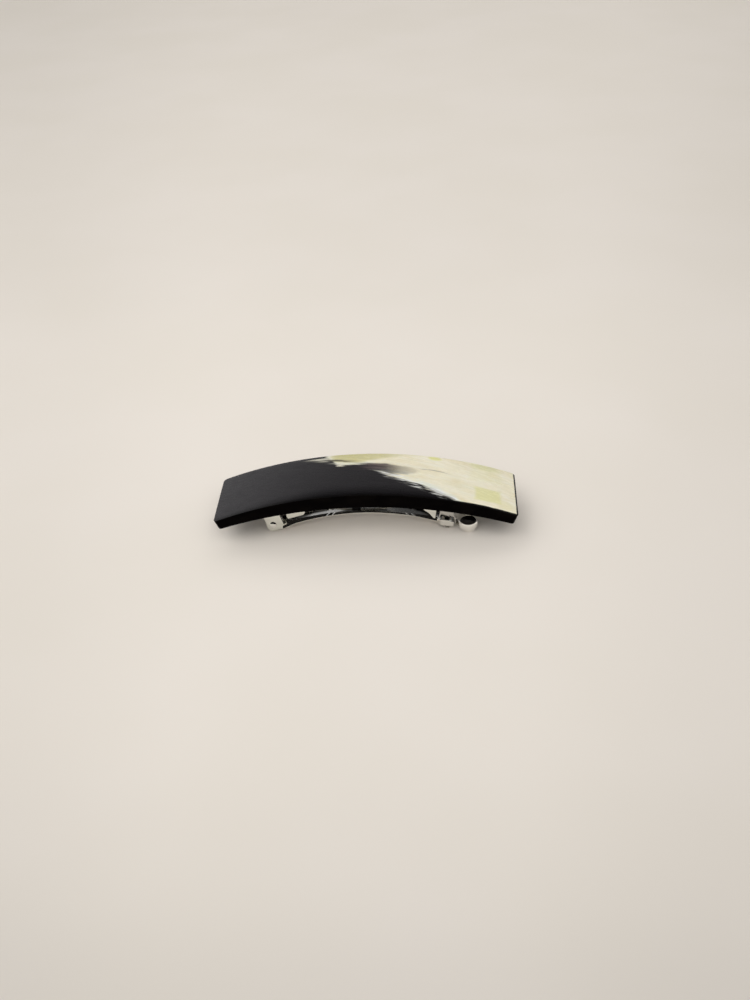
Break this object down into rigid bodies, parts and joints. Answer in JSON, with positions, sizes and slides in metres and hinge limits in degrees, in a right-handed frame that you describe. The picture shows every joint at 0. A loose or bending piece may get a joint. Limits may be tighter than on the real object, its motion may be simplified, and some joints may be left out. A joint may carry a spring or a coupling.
{
  "type": "hair barrette",
  "caption": "Arched horn plate on a sprung steel clip: channel clasp arm on a pinned hinge, bowed leaf spring, and a snap catch released by squeezing round finger pads.",
  "frame": {"origin": "centre of the bounding box's bottom face, level with the lowest points of the finger pads", "axes": "+X along the barrette towards the catch end, +Y across it, +Z from the clip up through the horn plate"},
  "size_m": [0.102, 0.0248, 0.0208],
  "materials": {
    "horn": "polished black horn running to streaked ivory at the catch end",
    "nickel_plate": "bright nickel plating on pressed steel",
    "spring_steel": "satin spring steel",
    "bond": "dark cured adhesive"
  },
  "bodies": {
    "base": {"horn_plate": "horn", "bonding_pad": "bond", "base_strip": "nickel_plate", "hinge_pin": "nickel_plate", "catch_plate": "spring_steel", "catch_rivet": "nickel_plate"},
    "clasp": {"clasp_arm": "nickel_plate"},
    "leaf": {"tension_spring": "spring_steel"},
    "catch_front": {"catch_arm_front": "nickel_plate"},
    "catch_back": {"catch_arm_back": "nickel_plate"}
  },
  "joints": [
    {"name": "clasp_hinge", "type": "hinge", "parent": "base", "child": "clasp", "pos_m": [-0.0324, 0, 0.00326], "axis": [0, 1, 0], "range_deg": [0, 105]},
    {"name": "leaf_flex", "type": "slide", "parent": "base", "child": "leaf", "axis": [0, 0, -1], "range_m": [0, 0.0016]},
    {"name": "catch_front_squeeze", "type": "hinge", "parent": "base", "child": "catch_front", "pos_m": [0.028, -0.00305, 0.00961], "axis": [0.9397, 0, -0.342], "range_deg": [0, 7], "stiffness_Nm_per_rad": 0.001},
    {"name": "catch_back_squeeze", "type": "hinge", "parent": "base", "child": "catch_back", "pos_m": [0.028, 0.00305, 0.00961], "axis": [-0.9397, 0, 0.342], "range_deg": [0, 7], "stiffness_Nm_per_rad": 0.001}
  ],
  "couplings": [
    {"joint": "leaf_flex", "follows": "clasp_hinge", "m_per_rad": 0.000873}
  ]
}
